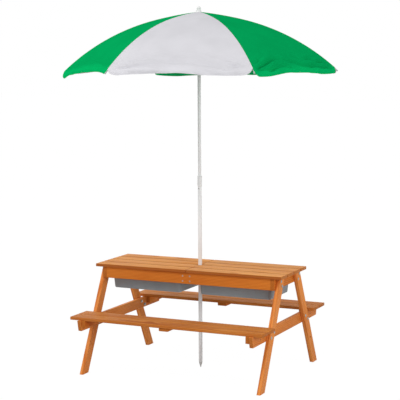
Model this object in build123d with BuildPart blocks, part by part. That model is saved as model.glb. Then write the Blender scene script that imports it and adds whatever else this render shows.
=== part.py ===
from build123d import *
from math import asin, atan2, cos, hypot, pi, radians, sin, sqrt, tan
import os

# A child's picnic table with two lift-out sand and water boxes under its lift-off lids,
# two benches on the same frame, and a folding sunshade whose pole stands in the middle.
# X runs along the table, Y across it and Z up. The origin is on the floor under the pole.

# Table top: two lids, each of four slats, meeting over the middle of the frame
top_height = 490.0
top_length = 940.0
top_width = 320.0
slat_thickness = 14.0
lid_slats = 4
slat_gap = 4.0
lid_gap = 3.0
pole_hole_radius = 12.0
board_round = 2.5

# Battens that hold each lid's slats together and keep it from sliding
lid_batten_width = 40.0
lid_batten_thickness = 14.0
lid_batten_end_gap = 9.0
lid_batten_wall_gap = 8.0

# Frame under the lids
frame_board = 18.0
frame_depth = 52.0
apron_setback = 8.0
rail_outer_x = 435.0
centre_board_width = 70.0
ledge_width = 12.0
ledge_depth = 14.0

# Legs, splayed across the table and bolted outside the end rails and seat beams
leg_width = 48.0
leg_board = 18.0
leg_splay = 26.5
leg_inset = 27.2
leg_top_gap = 4.0

# Benches on two seat beams
bench_height = 277.0
bench_length = 954.0
bench_outer_y = 392.0
bench_slat_width = 73.0
bench_slat_gap = 3.0
beam_depth = 49.0
beam_overhang = 10.0
beam_end_slope = 10.0
beam_corner = 4.0
cleat_depth = 32.0
cleat_width = 18.0
cleat_end_gap = 8.0
cleat_bolt_gap = 15.0
bench_batten_width = 46.0
bench_batten_thickness = 14.0
bench_batten_end_gap = 4.0

# Bolts through each leg: one pair into the end rail, one pair into the seat beam
bolt_shank_radius = 3.0
bolt_hole_clearance = 0.3
bolt_head_radius = 7.0
bolt_head_height = 3.2
bolt_tail = 1.0
washer_radius = 7.5
washer_thickness = 1.2
nut_across_flats = 10.0
nut_thickness = 4.0
bolt_edge_gap = 14.5
bolt_stagger = 11.5

# Sand and water boxes: tapered trays hanging by their rims
box_wall = 2.5
box_depth = 102.0
box_rim_thickness = 3.0
box_rim_drop = 2.0
box_side_gap = 2.0
box_ledge_gap = 2.0
box_taper = 6.0
box_corner = 22.0
box_floor_round = 6.0
box_end_gap = 5.0

# Pole: a lower tube on a ground spike, a collar, and an upper tube that slides into it
lower_pole_radius = 9.0
tube_wall = 1.2
pole_slide_gap = 0.3
guide_gap = 0.6
spike_length = 27.0
spike_tip_radius = 1.5
spike_plug = 40.0
spike_plug_gap = 0.1
collar_base = 859.0
collar_length = 50.0
collar_radius = 10.5
collar_seat = 26.0
collar_bore_gap = 0.1
collar_edge = 1.2
pole_overlap = 60.0

# Push button that pins the upper tube
button_radius = 2.5
button_gap = 0.1
button_drop = 9.0
button_stand_out = 2.6
button_inner_gap = 0.4
button_edge = 0.9

# Sunshade: six ribs hinged on a crown hub
ribs = 6
first_rib_angle = 16.5
crown_height = 1652.0
crown_pivot_radius = 15.0
rib_tip_radius = 629.0
rib_tip_height = 1399.0
rib_bow = 58.0
rib_half_depth = 1.8
rib_bar_width = 3.0
rib_eye_radius = 4.0
rib_cap_radius = 3.0
rib_cap_length = 9.0
rib_cap_round = 1.0
pin_radius = 1.1
pin_running_gap = 0.08
pin_length = 11.0
slot_gap = 0.4
hub_radius = 20.0
hub_half_height = 6.0
hub_cap_height = 3.0
hub_core_radius = 10.0
hub_sink = 8.0

# Stretchers from the ribs down to the runner
stretcher_share = 0.45
stretcher_drop = 8.0
stretcher_length = 332.0
stretcher_half_depth = 1.6
stretcher_eye_radius = 3.4
stretcher_end_radius = 2.6
clip_ear_thickness = 1.2
clip_ear_radius = 3.2
clip_side_gap = 0.3

# Runner that slides on the upper tube
runner_pivot_radius = 14.5
runner_radius = 10.5
runner_bore_gap = 0.1
runner_sleeve = 45.0
runner_head_radius = 20.0
runner_head_half = 6.0
runner_slot_floor = 11.2
runner_edge = 1.5

# Cloth of the shade, with a short frill along its hem
cloth_thickness = 2.0
cloth_seat_gap = 0.8
cloth_opening = 26.0
frill_depth = 28.0
frill_waves = 4
frill_wave_depth = 5.0
frill_end_gap = 8.0
frill_run = 40.0

# Knob on top
knob_stem_radius = 3.0
knob_stem_gap = 0.3
knob_stem_length = 10.0
knob_radius = 10.0
knob_height = 29.0
knob_foot_radius = 14.0
knob_foot_height = 15.0
knob_foot_edge = 2.0

# Clearance of round pieces that stay seated on each other
seat_gap = 0.05

# One overrun for every cut
overrun = 20.0

# Heights and places that follow from the sizes above
lid_underside = top_height - slat_thickness
slat_width = (top_width - (lid_slats - 1) * slat_gap) / lid_slats
lid_length = (top_length - lid_gap) / 2
apron_outer_y = top_width / 2 - apron_setback
apron_inner_y = apron_outer_y - frame_board
rail_inner_x = rail_outer_x - frame_board
frame_bottom = lid_underside - frame_depth
leg_outer_x = rail_outer_x + leg_board
leg_top = lid_underside - leg_top_gap
leg_slope = tan(radians(leg_splay))
leg_foot = leg_width / cos(radians(leg_splay))
rail_middle = lid_underside - frame_depth / 2
foot_middle_y = apron_inner_y - leg_inset + rail_middle * leg_slope
foot_outer_y = foot_middle_y + leg_foot / 2
bench_underside = bench_height - slat_thickness
bench_inner_y = bench_outer_y - 2 * bench_slat_width - bench_slat_gap
beam_bottom = bench_underside - beam_depth
beam_end_y = bench_outer_y + beam_overhang

rim_top = lid_underside - box_rim_drop
rim_underside = rim_top - box_rim_thickness
ledge_inner_y = apron_inner_y - ledge_width
rim_inner_x = centre_board_width / 2 + box_side_gap
rim_outer_x = rail_inner_x - box_side_gap
rim_length = rim_outer_x - rim_inner_x
rim_width = 2 * (apron_inner_y - box_side_gap)
tray_length = rim_length - 2 * box_end_gap
tray_width = 2 * (ledge_inner_y - box_ledge_gap)
box_middle_x = (rim_inner_x + rim_outer_x) / 2

lower_bore = lower_pole_radius - tube_wall
upper_pole_radius = lower_bore - pole_slide_gap
upper_bore = upper_pole_radius - tube_wall
collar_top = collar_base + collar_length
lower_pole_top = collar_base + collar_seat
button_height = collar_base - button_drop
upper_pole_bottom = button_height - pole_overlap + button_drop
hub_top = crown_height + hub_half_height + hub_cap_height
upper_pole_top = hub_top - hub_sink
hub_slot = rib_bar_width + 2 * slot_gap
rib_turn = 360 / ribs
half_turn = radians(rib_turn / 2)

# The rib is an arc from the crown pivot to its tip
rib_run = rib_tip_radius - crown_pivot_radius
rib_fall = crown_height - rib_tip_height
rib_chord = hypot(rib_run, rib_fall)
rib_pitch = atan2(rib_fall, rib_run)
rib_arc_radius = (rib_chord**2 / 4 + rib_bow**2) / (2 * rib_bow)
rib_half_arc = asin(rib_chord / 2 / rib_arc_radius)
rib_arc_length = 2 * rib_half_arc * rib_arc_radius
opening_share = (cloth_opening - crown_pivot_radius) / rib_arc_length
frill_share = 1 - frill_run / rib_arc_length
knob_top = hub_top + knob_height
knob_ball_drop = knob_height - knob_radius - knob_foot_height
knob_neck_radius = sqrt(knob_radius**2 - knob_ball_drop**2)


def rib_point(share, lift=0.0):
    """Radius and height of a point on the rib's arc, or at some lift above it."""
    turn = rib_half_arc * (2 * share - 1)
    along = rib_chord / 2 + (rib_arc_radius + lift) * sin(turn)
    out = (rib_arc_radius + lift) * cos(turn) - rib_arc_radius * cos(rib_half_arc)
    radius = crown_pivot_radius + along * cos(rib_pitch) + out * sin(rib_pitch)
    height = crown_height - along * sin(rib_pitch) + out * cos(rib_pitch)
    return radius, height


def rib_plane(number, out=0.0):
    """Upright plane through the pole and a rib: its x runs outwards and its y upwards."""
    angle = radians(first_rib_angle + number * rib_turn)
    side = Vector(sin(angle), -cos(angle), 0)
    return Plane(origin=side * out, x_dir=(cos(angle), sin(angle), 0), z_dir=side)


clip_radius, clip_height = rib_point(stretcher_share, -stretcher_drop)
runner_reach = clip_radius - runner_pivot_radius
runner_height = clip_height - sqrt(stretcher_length**2 - runner_reach**2)


def finish(piece, name):
    """Labels a piece and writes it to its file."""
    piece.part.label = name
    export_step(piece.part, f"parts/{name}.step")


def plank(name, x_range, y_range, z_range, grain, radius=board_round):
    """A sawn board between three ranges, with the edges along its grain eased."""
    size_x, size_y = x_range[1] - x_range[0], y_range[1] - y_range[0]
    with BuildPart() as board:
        with BuildSketch(Plane.XY.offset(z_range[0])):
            with Locations((sum(x_range) / 2, sum(y_range) / 2)):
                Rectangle(size_x, size_y)
        extrude(amount=z_range[1] - z_range[0])
        fillet(board.edges().filter_by(grain), radius)
    finish(board, name)


def mirrored(side, low, high):
    """The range from low to high on one side of the middle."""
    return tuple(sorted((side * low, side * high)))


def leg_middle_y(height):
    """Distance of a leg's centre line from the middle of the table at a height."""
    return foot_middle_y - height * leg_slope


def bolt_places(low, high, flip):
    """Distances and heights of two bolts set across a leg between two heights."""
    lower, upper = low + bolt_edge_gap, high - bolt_edge_gap
    return [
        (leg_middle_y(lower) - flip * bolt_stagger, lower),
        (leg_middle_y(upper) + flip * bolt_stagger, upper),
    ]


rail_bolts = bolt_places(frame_bottom, lid_underside, 1)
beam_bolts = bolt_places(beam_bottom, bench_underside, -1)
sides = (-1, 1)
side_names = {-1: "left", 1: "right"}
face_names = {-1: "front", 1: "back"}


def bolt_holes(places, x_start):
    """Cuts the bolt holes of both legs of one end through whatever stands there."""
    for end in sides:
        with BuildSketch(Plane.YZ.offset(x_start)) as holes:
            with Locations(*[(end * y, z) for y, z in places]):
                Circle(bolt_shank_radius + bolt_hole_clearance)
        extrude(holes.sketch, amount=leg_board + overrun, both=True, mode=Mode.SUBTRACT)


os.makedirs("parts", exist_ok=True)

# Aprons along the front and back
for face in sides:
    with BuildPart() as apron:
        with BuildSketch(Plane.XY.offset(frame_bottom)):
            with Locations((0, face * (apron_outer_y + apron_inner_y) / 2)):
                Rectangle(2 * rail_inner_x, frame_board)
        extrude(amount=frame_depth)
        fillet(apron.edges().filter_by(Axis.X), board_round)
    finish(apron, f"apron_{face_names[face]}")

# End rails, with their bolt holes
for side in sides:
    with BuildPart() as rail:
        with BuildSketch(Plane.XY.offset(frame_bottom)):
            with Locations((side * (rail_inner_x + rail_outer_x) / 2, 0)):
                Rectangle(frame_board, 2 * apron_outer_y)
        extrude(amount=frame_depth)
        fillet(rail.edges().filter_by(Axis.Y), board_round)
        bolt_holes(rail_bolts, side * rail_outer_x)
    finish(rail, f"end_rail_{side_names[side]}")

# Board across the middle, which guides the pole and carries the lids' inner ends
with BuildPart() as centre_board:
    with BuildSketch(Plane.XY.offset(frame_bottom)):
        Rectangle(centre_board_width, 2 * apron_inner_y)
        Circle(lower_pole_radius + guide_gap, mode=Mode.SUBTRACT)
    extrude(amount=frame_depth)
finish(centre_board, "centre_board")

# Ledges that the boxes' rims rest on, either side of the middle board
for face in sides:
    with BuildPart() as ledge:
        with BuildSketch(Plane.XY.offset(rim_underside - ledge_depth)):
            for side in sides:
                x_middle = side * (rail_inner_x + centre_board_width / 2) / 2
                with Locations((x_middle, face * (apron_inner_y - ledge_width / 2))):
                    Rectangle(rail_inner_x - centre_board_width / 2, ledge_width)
        extrude(amount=ledge_depth)
    finish(ledge, f"box_ledge_{face_names[face]}")

# Legs
for side in sides:
    for face in sides:
        top_y = foot_outer_y - leg_top * leg_slope
        outline = [
            (face * foot_outer_y, 0),
            (face * top_y, leg_top),
            (face * (top_y - leg_foot), leg_top),
            (face * (foot_outer_y - leg_foot), 0),
        ]
        with BuildPart() as leg:
            with BuildSketch(Plane.YZ.offset(side * rail_outer_x)):
                with BuildLine():
                    Polyline(*outline, close=True)
                make_face()
            extrude(amount=side * leg_board)
            fillet(leg.edges().filter_by(lambda e: e.length > leg_top), board_round)
            bolt_holes(rail_bolts + beam_bolts, side * rail_outer_x)
        finish(leg, f"leg_{face_names[face]}_{side_names[side]}")

# Seat beams, run from bench to bench inside the legs, their ends cut at a slope
for side in sides:
    with BuildPart() as beam:
        with BuildSketch(Plane.YZ.offset(side * rail_inner_x)):
            with BuildLine():
                Polyline(
                    (beam_end_y, bench_underside),
                    (beam_end_y - beam_end_slope, beam_bottom),
                    (beam_end_slope - beam_end_y, beam_bottom),
                    (-beam_end_y, bench_underside),
                    close=True,
                )
            make_face()
        extrude(amount=side * frame_board)
        fillet(beam.edges().filter_by(Axis.X).group_by(Axis.Z)[0], beam_corner)
        fillet(beam.edges().filter_by(Axis.Y), board_round)
        bolt_holes(beam_bolts, side * rail_outer_x)
    finish(beam, f"seat_beam_{side_names[side]}")

# Cleats on the beams' inner faces, under each bench
cleat_start = beam_bolts[0][0] + washer_radius + cleat_bolt_gap
cleat_stop = beam_end_y - cleat_end_gap
with BuildPart() as cleats:
    for side in sides:
        for face in sides:
            with BuildSketch(Plane.YZ.offset(side * rail_inner_x)):
                with Locations(
                    (face * (cleat_start + cleat_stop) / 2, bench_underside - cleat_depth / 2)
                ):
                    Rectangle(cleat_stop - cleat_start, cleat_depth)
            extrude(amount=-side * cleat_width)
    low_edges = cleats.edges().filter_by(Axis.X).group_by(Axis.Z)[0]
    fillet(low_edges, beam_corner)
finish(cleats, "seat_cleats")

# Bench slats, two to a bench
for face in sides:
    for place, start in (
        ("inner", bench_inner_y),
        ("outer", bench_outer_y - bench_slat_width),
    ):
        plank(
            f"bench_{face_names[face]}_{place}_slat",
            (-bench_length / 2, bench_length / 2),
            mirrored(face, start, start + bench_slat_width),
            (bench_underside, bench_height),
            Axis.X,
        )

# Battens across the middle of each bench
batten_start = bench_inner_y + bench_batten_end_gap
batten_stop = bench_outer_y - bench_batten_end_gap
with BuildPart() as bench_battens:
    with BuildSketch(Plane.XY.offset(bench_underside - bench_batten_thickness)):
        with Locations(*[(0, face * (batten_start + batten_stop) / 2) for face in sides]):
            Rectangle(bench_batten_width, batten_stop - batten_start)
    extrude(amount=bench_batten_thickness)
    fillet(bench_battens.edges().filter_by(Axis.Y).group_by(Axis.Z)[0], board_round)
finish(bench_battens, "bench_battens")

# Bolts, washers and nuts of all four legs
bolt_grid = [(end * y, z) for end in sides for y, z in rail_bolts + beam_bolts]
washer_face = rail_inner_x - washer_thickness
nut_face = washer_face - nut_thickness
with BuildPart() as bolts:
    for side in sides:
        with BuildSketch(Plane.YZ.offset(side * leg_outer_x)):
            with Locations(*bolt_grid):
                Circle(bolt_head_radius)
        extrude(amount=side * bolt_head_height)
        outermost = min(-side, 0)
        head_rims = bolts.faces().group_by(Axis.X)[outermost].edges()
        chamfer(head_rims, bolt_head_height / 2, bolt_head_height)
        with BuildSketch(Plane.YZ.offset(side * leg_outer_x)):
            with Locations(*bolt_grid):
                Circle(bolt_shank_radius)
        extrude(amount=-side * (leg_outer_x - nut_face + bolt_tail))
finish(bolts, "leg_bolts")

with BuildPart() as washers:
    for side in sides:
        with BuildSketch(Plane.YZ.offset(side * rail_inner_x)):
            with Locations(*bolt_grid):
                Circle(washer_radius)
            with Locations(*bolt_grid):
                Circle(bolt_shank_radius + bolt_hole_clearance, mode=Mode.SUBTRACT)
        extrude(amount=-side * washer_thickness)
finish(washers, "leg_washers")

with BuildPart() as nuts:
    for side in sides:
        with BuildSketch(Plane.YZ.offset(side * washer_face)):
            with Locations(*bolt_grid):
                RegularPolygon(nut_across_flats / 2, 6, major_radius=False)
            with Locations(*bolt_grid):
                Circle(bolt_shank_radius + seat_gap, mode=Mode.SUBTRACT)
        extrude(amount=-side * nut_thickness)
finish(nuts, "leg_nuts")


def tray(side, inset):
    """One box's tapered body, or at the wall's inset the hollow within it."""
    with BuildPart() as form:
        with BuildSketch(Plane.XY.offset(rim_top)):
            with Locations((side * box_middle_x, 0)):
                RectangleRounded(
                    tray_length - 2 * inset, tray_width - 2 * inset, box_corner - inset
                )
        extrude(amount=inset - box_depth, taper=box_taper)
        fillet(form.faces().sort_by(Axis.Z)[0].edges(), box_floor_round - inset)
    return form.part


# Sand and water boxes
for side in sides:
    outside, hollow = tray(side, 0), tray(side, box_wall)
    with BuildPart() as box:
        with BuildSketch(Plane.XY.offset(rim_top)):
            with Locations((side * box_middle_x, 0)):
                RectangleRounded(rim_length, rim_width, box_corner / 2)
        extrude(amount=-box_rim_thickness)
        add(outside)
        add(hollow, mode=Mode.SUBTRACT)
    finish(box, f"sand_box_{side_names[side]}")

# Lids: slats with the pole's hole shared between the four middle corners
for side in sides:
    for number in range(lid_slats):
        slat_start = -top_width / 2 + number * (slat_width + slat_gap)
        x_middle = side * (lid_gap + lid_length) / 2
        with BuildPart() as slat:
            with BuildSketch(Plane.XY.offset(lid_underside)):
                with Locations((x_middle, slat_start + slat_width / 2)):
                    Rectangle(lid_length, slat_width)
            extrude(amount=slat_thickness)
            fillet(slat.edges().filter_by(Axis.X), board_round)
            with BuildSketch(Plane.XY.offset(lid_underside - overrun)):
                Circle(pole_hole_radius)
            extrude(amount=slat_thickness + 2 * overrun, mode=Mode.SUBTRACT)
        finish(slat, f"lid_{side_names[side]}_slat_{number + 1}")

# Battens under each lid, which drop into the mouth of the box
batten_reach = tray_width / 2 - box_wall - lid_batten_end_gap
batten_rows = (
    rim_inner_x + box_end_gap + box_wall + lid_batten_wall_gap + lid_batten_width / 2,
    rim_outer_x - box_end_gap - box_wall - lid_batten_wall_gap - lid_batten_width / 2,
)
for side in sides:
    with BuildPart() as lid_battens:
        with BuildSketch(Plane.XY.offset(lid_underside - lid_batten_thickness)):
            with Locations(*[(side * x, 0) for x in batten_rows]):
                Rectangle(lid_batten_width, 2 * batten_reach)
        extrude(amount=lid_batten_thickness)
        fillet(lid_battens.edges().filter_by(Axis.Y).group_by(Axis.Z)[0], board_round)
    finish(lid_battens, f"lid_{side_names[side]}_battens")

# Ground spike, plugged into the foot of the lower tube
with BuildPart() as spike:
    with BuildSketch(Plane.XZ):
        with BuildLine():
            Polyline(
                (0, 0),
                (spike_tip_radius, 0),
                (lower_pole_radius, spike_length),
                (lower_bore - spike_plug_gap, spike_length),
                (lower_bore - spike_plug_gap, spike_length + spike_plug),
                (0, spike_length + spike_plug),
                close=True,
            )
        make_face()
    revolve(axis=Axis.Z)
finish(spike, "ground_spike")

# Lower tube, with the button's hole on the front
with BuildPart() as lower_pole:
    with BuildSketch(Plane.XY.offset(spike_length)):
        Circle(lower_pole_radius)
        Circle(lower_bore, mode=Mode.SUBTRACT)
    extrude(amount=lower_pole_top - spike_length)
    with BuildSketch(Plane.XZ):
        with Locations((0, button_height)):
            Circle(button_radius + button_gap)
    extrude(amount=lower_pole_radius + overrun, mode=Mode.SUBTRACT)
finish(lower_pole, "lower_pole")

# Collar, seated on the lower tube and bored for the upper one
with BuildPart() as collar:
    with BuildSketch(Plane.XY.offset(collar_base)):
        Circle(collar_radius)
    extrude(amount=collar_length)
    chamfer(collar.edges().filter_by(GeomType.CIRCLE), collar_edge)
    with BuildSketch(Plane.XY.offset(collar_base)):
        Circle(lower_pole_radius + seat_gap)
    extrude(amount=collar_seat, mode=Mode.SUBTRACT)
    with BuildSketch(Plane.XY.offset(collar_base)):
        Circle(upper_pole_radius + collar_bore_gap)
    extrude(amount=collar_length + overrun, mode=Mode.SUBTRACT)
finish(collar, "pole_collar")

# Push button
with BuildPart() as button:
    with BuildSketch(Plane.XZ.offset(upper_pole_radius + button_inner_gap)):
        with Locations((0, button_height)):
            Circle(button_radius)
    extrude(amount=lower_pole_radius + button_stand_out - upper_pole_radius - button_inner_gap)
    chamfer(button.edges().group_by(Axis.Y)[0], button_edge)
finish(button, "lock_button")

# Upper tube, with the hole that the button enters
with BuildPart() as upper_pole:
    with BuildSketch(Plane.XY.offset(upper_pole_bottom)):
        Circle(upper_pole_radius)
        Circle(upper_bore, mode=Mode.SUBTRACT)
    extrude(amount=upper_pole_top - upper_pole_bottom)
    with BuildSketch(Plane.XZ):
        with Locations((0, button_height)):
            Circle(button_radius + pole_slide_gap)
    extrude(amount=upper_pole_radius + overrun, mode=Mode.SUBTRACT)
finish(upper_pole, "upper_pole")

# Crown hub: a slotted disc on the upper tube, with a pin across each slot
hub_base = crown_height - hub_half_height
with BuildPart() as hub:
    with BuildSketch(Plane.XY.offset(hub_base)):
        Circle(hub_radius)
    extrude(amount=2 * hub_half_height)
    with BuildSketch(Plane.XY.offset(crown_height + hub_half_height)):
        Circle(hub_radius - board_round)
    extrude(amount=hub_cap_height)
    with BuildSketch(Plane.XY.offset(hub_base)):
        slot_reach = hub_radius - hub_core_radius + overrun
        with PolarLocations(hub_core_radius + slot_reach / 2, ribs, first_rib_angle):
            Rectangle(slot_reach, hub_slot)
    extrude(amount=2 * hub_half_height + hub_cap_height, mode=Mode.SUBTRACT)
    with BuildSketch(Plane.XY.offset(hub_base)):
        Circle(upper_pole_radius + seat_gap)
    extrude(amount=upper_pole_top - hub_base, mode=Mode.SUBTRACT)
    with BuildSketch(Plane.XY.offset(hub_base)):
        Circle(knob_stem_radius)
    extrude(amount=hub_top - hub_base + overrun, mode=Mode.SUBTRACT)
    for number in range(ribs):
        with BuildSketch(rib_plane(number)):
            with Locations((crown_pivot_radius, crown_height)):
                Circle(pin_radius + seat_gap)
        extrude(amount=pin_length / 2, both=True, mode=Mode.SUBTRACT)
finish(hub, "crown_hub")

with BuildPart() as rib_pins:
    for number in range(ribs):
        with BuildSketch(rib_plane(number)):
            with Locations((crown_pivot_radius, crown_height)):
                Circle(pin_radius)
        extrude(amount=pin_length / 2, both=True)
finish(rib_pins, "rib_pins")

# Ribs: a bowed bar with an eye at the crown, a forked clip below and a cap on its tip
clip_reach = rib_bar_width / 2 + clip_side_gap + clip_ear_thickness
clip_half_share = clip_ear_radius / rib_arc_length
clip_roof = rib_half_depth + clip_ear_thickness
with BuildPart() as rib_form:
    with BuildSketch(Plane.XZ):
        with BuildLine():
            over = ThreePointArc(*[rib_point(t, rib_half_depth) for t in (0, 1 / 2, 1)])
            under = ThreePointArc(*[rib_point(t, -rib_half_depth) for t in (0, 1 / 2, 1)])
            Line(over @ 0, under @ 0)
            Line(over @ 1, under @ 1)
        make_face()
        with Locations((crown_pivot_radius, crown_height)):
            Circle(rib_eye_radius)
            Circle(pin_radius + pin_running_gap, mode=Mode.SUBTRACT)
    extrude(amount=rib_bar_width / 2, both=True)
    with BuildSketch(Plane.XZ):
        with BuildLine():
            Polyline(
                rib_point(stretcher_share - clip_half_share, rib_half_depth - clip_side_gap),
                rib_point(stretcher_share + clip_half_share, rib_half_depth - clip_side_gap),
                (clip_radius + clip_ear_radius, clip_height),
                (clip_radius - clip_ear_radius, clip_height),
                close=True,
            )
        make_face()
        with Locations((clip_radius, clip_height)):
            Circle(clip_ear_radius)
    extrude(amount=clip_reach, both=True)
    with BuildSketch(Plane.XZ):
        with Locations((clip_radius, clip_height)):
            Circle(stretcher_eye_radius + clip_side_gap)
        with BuildLine():
            Polyline(
                rib_point(stretcher_share - 2 * clip_half_share, -clip_roof),
                rib_point(stretcher_share + 2 * clip_half_share, -clip_roof),
                (clip_radius + 2 * clip_ear_radius, clip_height - overrun),
                (clip_radius - 2 * clip_ear_radius, clip_height - overrun),
                close=True,
            )
        make_face()
    extrude(amount=rib_bar_width / 2 + clip_side_gap, both=True, mode=Mode.SUBTRACT)
    with BuildSketch(Plane.XZ):
        with Locations((clip_radius, clip_height)):
            Circle(pin_radius)
    extrude(amount=clip_reach - clip_ear_thickness / 2, both=True)
    tip_in, tip_out = rib_point(1, -rib_half_depth), rib_point(1, rib_half_depth)
    along_rib = Vector(tip_out[1] - tip_in[1], 0, tip_in[0] - tip_out[0])
    tip = rib_point(1)
    with BuildSketch(Plane(origin=(tip[0], 0, tip[1]), z_dir=along_rib)):
        Circle(rib_cap_radius)
    extrude(amount=rib_cap_length)

# Stretchers: a bar with an eye on the rib's clip pin and another in the runner's slot
with BuildPart() as stretcher_form:
    with BuildSketch(Plane.XZ):
        with BuildLine():
            Line((runner_pivot_radius, runner_height), (clip_radius, clip_height))
        trace(line_width=2 * stretcher_half_depth)
        with Locations((clip_radius, clip_height)):
            Circle(stretcher_eye_radius)
        with Locations((runner_pivot_radius, runner_height)):
            Circle(stretcher_end_radius)
        with Locations((clip_radius, clip_height), (runner_pivot_radius, runner_height)):
            Circle(pin_radius + pin_running_gap, mode=Mode.SUBTRACT)
    extrude(amount=rib_bar_width / 2, both=True)

# Each rib and stretcher is the same form turned to its place
for number in range(ribs):
    for form, kind in ((rib_form, "rib"), (stretcher_form, "stretcher")):
        with BuildPart() as turned:
            with PolarLocations(0, 1, first_rib_angle + number * rib_turn):
                add(form.part)
        finish(turned, f"{kind}_{number + 1}")

# Runner: a sleeve with a slotted head
head_base = runner_height - runner_head_half
with BuildPart() as runner:
    with BuildSketch(Plane.XY.offset(runner_height - runner_sleeve)):
        Circle(runner_radius)
    extrude(amount=runner_sleeve + runner_head_half)
    with BuildSketch(Plane.XY.offset(head_base)):
        Circle(runner_head_radius)
    extrude(amount=2 * runner_head_half)
    chamfer(runner.edges().filter_by(GeomType.CIRCLE).group_by(Axis.Z)[0], runner_edge)
    with BuildSketch(Plane.XY.offset(head_base)):
        slot_reach = runner_head_radius - runner_slot_floor + overrun
        with PolarLocations(runner_slot_floor + slot_reach / 2, ribs, first_rib_angle):
            Rectangle(slot_reach, hub_slot)
    extrude(amount=2 * runner_head_half, mode=Mode.SUBTRACT)
    with BuildSketch(Plane.XY.offset(runner_height - runner_sleeve - overrun)):
        Circle(upper_pole_radius + runner_bore_gap)
    extrude(amount=runner_sleeve + runner_head_half + 2 * overrun, mode=Mode.SUBTRACT)
finish(runner, "runner")


# Knob on the crown, over a round foot that covers the cloth's opening
with BuildPart() as knob:
    with BuildSketch(Plane.XZ):
        with BuildLine():
            foot = Polyline(
                (0, hub_top),
                (knob_foot_radius, hub_top),
                (knob_foot_radius, hub_top + knob_foot_edge),
                (knob_neck_radius, hub_top + knob_foot_height),
            )
            ThreePointArc(foot @ 1, (knob_radius, knob_top - knob_radius), (0, knob_top))
            Line((0, knob_top), (0, hub_top))
        make_face()
    revolve(axis=Axis.Z)
    with BuildSketch(Plane.XY.offset(hub_top)):
        Circle(knob_stem_radius - knob_stem_gap)
    extrude(amount=-knob_stem_length)
finish(knob, "crown_knob")


def cloth_point(share, lift):
    """Radius and height on the cloth over a rib, never nearer the pole than its opening."""
    return rib_point(share, rib_half_depth + cloth_seat_gap + lift)


# Cloth: one gore, straight from rib to rib, with its length of frill
hem_corner, hem_height = cloth_point(1, cloth_thickness)
hem_middle = hem_corner * cos(half_turn)
frill_half = hem_corner * sin(half_turn) - frill_end_gap
frill_low = hem_height - frill_depth
start, middle, stop = rib_plane(0), rib_plane(1 / 2), rib_plane(1)
across = middle.z_dir * -1
crests = [
    (
        hem_middle - frill_wave_depth * (1 + cos(pi * step)) / 2,
        frill_half * (step / frill_waves - 1),
    )
    for step in range(2 * frill_waves + 1)
]
with BuildPart() as gore:
    frill_plane = Plane(origin=(0, 0, frill_low), x_dir=middle.x_dir, z_dir=(0, 0, 1))
    with BuildSketch(frill_plane):
        with BuildLine():
            outside = Spline(*crests)
            inside = Spline(*[(x - cloth_thickness, y) for x, y in crests])
            Line(outside @ 0, inside @ 0)
            Line(outside @ 1, inside @ 1)
        make_face()
    extrude(amount=frill_depth + overrun)
    with BuildSketch(start):
        with BuildLine():
            over = ThreePointArc(
                cloth_point(frill_share, cloth_thickness / 2),
                cloth_point((1 + frill_share) / 2, cloth_thickness / 2),
                cloth_point(1, cloth_thickness / 2),
            )
            corner = (over @ 1).X, frill_low
            Line(over @ 1, corner)
            Line(corner, ((over @ 0).X, frill_low))
            Line(((over @ 0).X, frill_low), over @ 0)
        make_face()
    extrude(amount=hem_corner, dir=across, mode=Mode.INTERSECT)
    with BuildSketch(start):
        with BuildLine():
            top = ThreePointArc(
                *[cloth_point(t, cloth_thickness) for t in (opening_share, 1 / 2, 1)]
            )
            under = ThreePointArc(*[cloth_point(t, 0) for t in (opening_share, 1 / 2, 1)])
            Line(top @ 0, under @ 0)
            Line(top @ 1, under @ 1)
        make_face()
    extrude(amount=hem_corner, dir=across)
    split(bisect_by=stop, keep=Keep.TOP)

# Six such gores, green and white by turns
for name, first in (("canopy_green", 1), ("canopy_white", 0)):
    with BuildPart() as cloth:
        for number in range(first, ribs, 2):
            with PolarLocations(0, 1, number * rib_turn):
                add(gore.part)
    finish(cloth, name)
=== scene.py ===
"""A children's picnic table with play boxes and a folding sunshade, dressed for its picture."""
import logging
import math
from dataclasses import dataclass, field
from enum import Enum
from typing import Sequence

import bmesh
import bpy
import numpy as np
from mathutils import Matrix, Vector, noise


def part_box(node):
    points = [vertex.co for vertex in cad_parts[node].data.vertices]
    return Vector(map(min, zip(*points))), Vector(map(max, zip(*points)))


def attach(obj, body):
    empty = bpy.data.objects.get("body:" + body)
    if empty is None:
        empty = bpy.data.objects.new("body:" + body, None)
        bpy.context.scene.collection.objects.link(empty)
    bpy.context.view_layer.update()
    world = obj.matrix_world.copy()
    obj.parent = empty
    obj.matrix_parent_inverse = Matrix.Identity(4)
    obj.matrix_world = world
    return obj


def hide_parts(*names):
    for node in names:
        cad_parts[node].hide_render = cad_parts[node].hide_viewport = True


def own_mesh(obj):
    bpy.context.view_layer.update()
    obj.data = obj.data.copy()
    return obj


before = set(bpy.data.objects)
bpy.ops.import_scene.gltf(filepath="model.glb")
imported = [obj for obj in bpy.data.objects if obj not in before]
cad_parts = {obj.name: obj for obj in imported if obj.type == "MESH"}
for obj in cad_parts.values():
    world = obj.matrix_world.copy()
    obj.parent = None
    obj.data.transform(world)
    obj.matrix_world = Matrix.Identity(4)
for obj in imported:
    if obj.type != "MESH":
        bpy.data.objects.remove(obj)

log = logging.getLogger("picnic_table")
Triple = tuple[float, float, float]
Colour = Triple
Grids = tuple[np.ndarray, np.ndarray, np.ndarray]
MM = 0.001
BLACK: Colour = (0.0, 0.0, 0.0)


def linear(red: int, green: int, blue: int) -> Colour:
    """Turns a screen colour of three bytes into the linear colour that a shader takes."""
    parts = (part / 255 for part in (red, green, blue))
    return tuple(p / 12.92 if p <= 0.04045 else ((p + 0.055) / 1.055) ** 2.4 for p in parts)


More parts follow.
